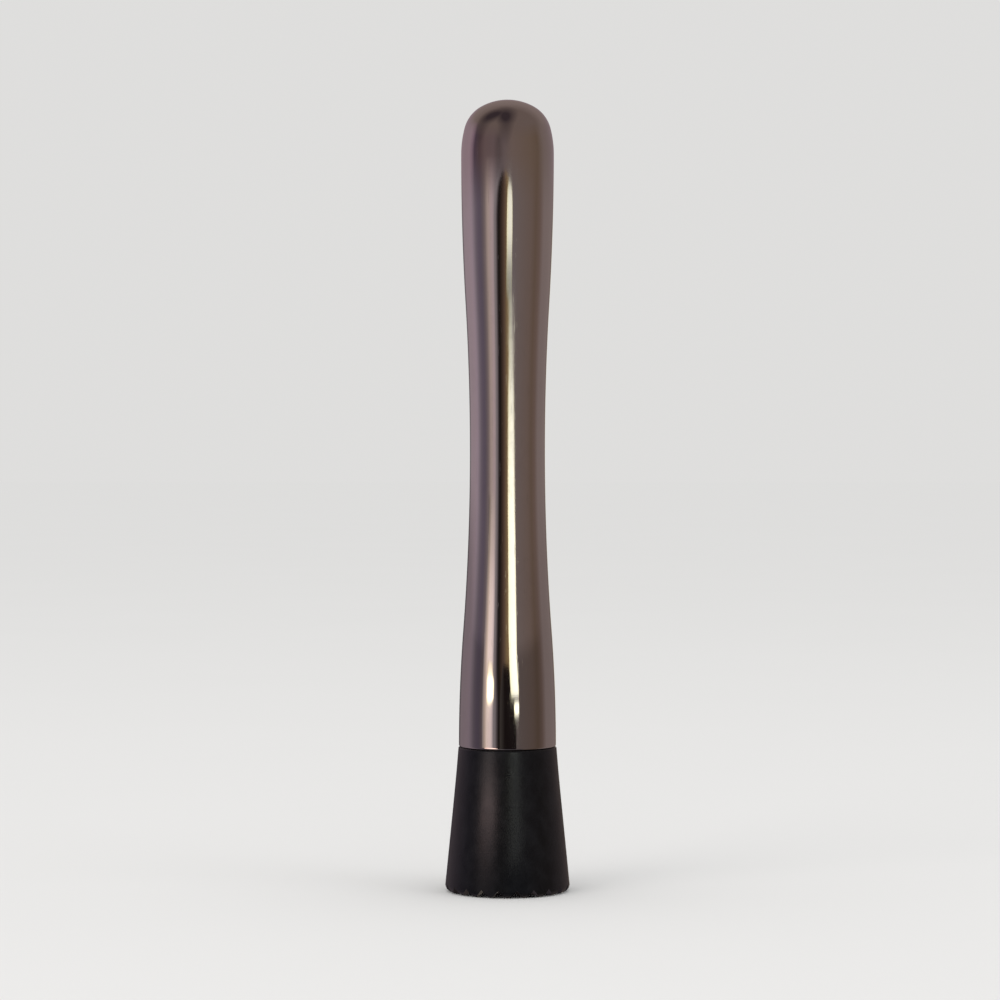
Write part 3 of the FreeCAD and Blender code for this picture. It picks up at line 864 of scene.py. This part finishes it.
def room_glow():
    """The grey room round the table, as the polished steel sees it."""
    material, tree, light = glow("studio_room")
    place = tree.nodes.new("ShaderNodeTexCoord").outputs["Object"]
    axes = add_node(tree, "ShaderNodeSeparateXYZ", {"Vector": place}).outputs
    around = maths(tree, "ARCTAN2", axes["X"], maths(tree, "MULTIPLY", axes["Y"], -1.0))
    share = ranged(tree, around, -math.pi, math.pi)
    level, above = (
        fill_ramp(tree, share, [((azimuth + 180) / 360, tint) for azimuth, tint in tones])
        for tones in (ROOM_LEVEL, ROOM_ABOVE)
    )
    room = blend_colours(tree, ranged(tree, axes["Z"], *ABOVE_HEIGHTS), level, above)
    overhead = blend_colours(tree, ranged(tree, axes["Y"], *BEHIND_REACH), OVERHEAD, BEHIND)
    room = blend_colours(tree, ranged(tree, axes["Z"], *OVERHEAD_HEIGHTS), room, overhead)
    room = blend_colours(tree, near_a_beam(tree, place), room, BEAM_COLOUR)
    left_and_middle = ranged(tree, around, *map(math.radians, LOW_AZIMUTHS), 1.0, LOW_RIGHT)
    low = maths(tree, "MULTIPLY", ranged(tree, axes["Z"], *LOW_HEIGHTS), left_and_middle)
    dimmer = vector_maths(tree, "MULTIPLY", room, (LOW_SHARE,) * 3).outputs["Vector"]
    tree.links.new(blend_colours(tree, low, room, dimmer), light.inputs["Color"])
    return material


ASLANT = (0.04, 0.16)  # from seen straight on to seen steeply
CARD_COLUMNS = 16


def card_glow(name, colours, steep):
    """A glowing card: colours across it, brightness by row, and a share of that where seen steeply."""
    material, tree, light = glow(name)
    across = add_node(tree, "ShaderNodeAttribute", attribute_name="across").outputs["Fac"]
    brightness = add_node(tree, "ShaderNodeAttribute", attribute_name="brightness").outputs["Fac"]
    tree.links.new(fill_ramp(tree, across, colours), light.inputs["Color"])
    aslant = tree.nodes.new("ShaderNodeLayerWeight").outputs["Facing"]
    straight = ranged(tree, aslant, *ASLANT, 1.0, steep)
    tree.links.new(maths(tree, "MULTIPLY", brightness, straight), light.inputs["Strength"])
    return material


def curved_card(name, card):
    """An upright card bent round the muddler, its sides led by rows of height and azimuths."""
    rows = card["rows"]
    bm = bmesh.new()
    bmesh.ops.create_grid(bm, x_segments=CARD_COLUMNS, y_segments=len(rows) - 1, size=0.5)
    across = bm.verts.layers.float.new("across")
    brightness = bm.verts.layers.float.new("brightness")
    for vertex in bm.verts:
        height, left, right, strength = rows[round((vertex.co.y + 0.5) * (len(rows) - 1))]
        share = vertex.co.x + 0.5
        azimuth = math.radians(left + share * (right - left))
        vertex[across] = share
        vertex[brightness] = strength
        vertex.co = (card["distance"] * math.sin(azimuth), -card["distance"] * math.cos(azimuth), height)
    return finished(name, bm, ALL_SMOOTH)


def aim(item, target):
    """Turns a light or the camera towards a point."""
    item.rotation_euler = (Vector(target) - item.location).to_track_quat("-Z", "Y").to_euler()


SOFTBOXES = {  # place, watts and colour
    "softbox_left": ((-0.9, -0.9, 1.1), 4, (1.0, 0.97, 0.95)),
    "softbox_right": ((1.1, -0.6, 0.9), 2, (0.95, 0.97, 1.0)),
}
SOFTBOX_SIZE = 0.9
LIT_POINT = (0, 0, 0.09)


def soft_light(name, place, power, tint):
    """A large softbox that lights the table and stays out of the reflections."""
    data = bpy.data.lights.new(name, "AREA")
    data.shape = "DISK"
    data.size = SOFTBOX_SIZE
    data.energy = power
    data.color = tint
    light = bpy.data.objects.new(name, data)
    bpy.context.scene.collection.objects.link(light)
    light.location = place
    aim(light, LIT_POINT)
    light.visible_glossy = False
    light.visible_camera = False


def plain_surroundings(settings):
    """Even light from all round, seen by the camera in the colour the floor has far away."""
    world = bpy.data.worlds.new("plain_surroundings")
    world.use_nodes = True
    tree = world.node_tree
    seen = tree.nodes.new("ShaderNodeLightPath").outputs["Is Camera Ray"]
    even = (settings.daylight,) * 3
    far_floor = scaled(settings.floor, settings.daylight)
    tree.links.new(blend_colours(tree, seen, even, far_floor), tree.nodes["Background"].inputs["Color"])
    return world


FLOOR_HALF = 12
FLOOR_DROP = 0.05 * MM  # keeps the floor clear of the tooth tips


def pale_floor(settings):
    """A plain floor, seen from above only."""
    bm = bmesh.new()
    bmesh.ops.create_grid(bm, x_segments=2, y_segments=2, size=FLOOR_HALF)
    bmesh.ops.translate(bm, verts=bm.verts, vec=(0, 0, -FLOOR_DROP))
    floor = finished("floor", bm, ALL_SMOOTH)
    material, tree, shader, place = new_material("plain_floor")
    mottle = stretched_noise(tree, place, (6, 6, 6), 1.0, 3.0)
    base = tuple(settings.floor)
    tint = blend_colours(tree, mottle, scaled(base, 0.985), base)
    tree.links.new(tint, shader.inputs["Base Color"])
    shader.inputs["Roughness"].default_value = 0.9
    shader.inputs["Specular IOR Level"].default_value = 0.0
    underside = tree.nodes.new("ShaderNodeNewGeometry").outputs["Backfacing"]
    tree.links.new(maths(tree, "SUBTRACT", 1.0, underside), shader.inputs["Alpha"])
    stage_piece(floor, material)
    floor.visible_glossy = False


def reflected_room():
    """The room and the cards that only the reflections show."""
    bm = bmesh.new()
    bmesh.ops.create_uvsphere(bm, u_segments=96, v_segments=48, radius=ROOM_RADIUS)
    room = finished("studio_room", bm, ALL_SMOOTH)
    stage_piece(room, room_glow(), reflected_only=True)
    for name, card in CARDS.items():
        made = card_glow(name, card["colours"], card.get("steep", 1.0))
        stage_piece(curved_card(name, card), made, reflected_only=True)


def studio_camera(settings):
    """A camera a little above the muddler's middle, looking slightly down at it."""
    data = bpy.data.cameras.new("camera")
    data.lens = data.sensor_width * settings.distance / settings.view_width
    data.clip_start = 0.01
    data.clip_end = 60
    camera = bpy.data.objects.new("camera", data)
    bpy.context.scene.collection.objects.link(camera)
    camera.location = (settings.aside, -settings.distance, settings.height)
    aim(camera, (settings.aside, 0, settings.aim_height))
    return camera


class MUDDLER_OT_studio(bpy.types.Operator):
    """Sets the floor, the lights, the reflected cards and the camera."""

    bl_idname = "muddler.studio"
    bl_label = "Studio"

    def execute(self, context):
        settings = context.scene.muddler_studio
        pale_floor(settings)
        reflected_room()
        for name, (place, power, tint) in SOFTBOXES.items():
            soft_light(name, place, power, tint)
        context.scene.world = plain_surroundings(settings)
        context.scene.view_settings.view_transform = "Standard"
        context.scene.camera = studio_camera(settings)
        return {"FINISHED"}


class MUDDLER_PT_panel(bpy.types.Panel):
    """Lists the muddler's pieces and their sizes."""

    bl_idname = "MUDDLER_PT_panel"
    bl_label = "Bar Muddler"
    bl_space_type = "VIEW_3D"
    bl_region_type = "UI"
    bl_category = "Muddler"

    def draw(self, context):
        layout = self.layout
        for step in STEPS:
            layout.operator(step.bl_idname)
        for name in PROPERTY_GROUPS:
            group = getattr(context.scene, name)
            box = layout.box()
            for item in group.bl_rna.properties:
                if item.identifier not in ("rna_type", "name"):
                    box.prop(group, item.identifier)


STEPS = (
    MUDDLER_OT_finishes,
    MUDDLER_OT_handle,
    MUDDLER_OT_head,
    MUDDLER_OT_screw_joint,
    MUDDLER_OT_ring,
    MUDDLER_OT_studio,
)
CLASSES = (*PROPERTY_GROUPS.values(), *STEPS, MUDDLER_PT_panel)


def register():
    """Adds the classes, and each group of properties to the scene."""
    for item in CLASSES:
        bpy.utils.register_class(item)
    for name, group in PROPERTY_GROUPS.items():
        setattr(bpy.types.Scene, name, bpy.props.PointerProperty(type=group))


def unregister():
    """Takes them away again."""
    for name in PROPERTY_GROUPS:
        delattr(bpy.types.Scene, name)
    for item in reversed(CLASSES):
        bpy.utils.unregister_class(item)


def main():
    """Builds the muddler and its studio."""
    register()
    for step in STEPS:
        space, name = step.bl_idname.split(".")
        getattr(getattr(bpy.ops, space), name)()


if __name__ == "__main__":
    main()
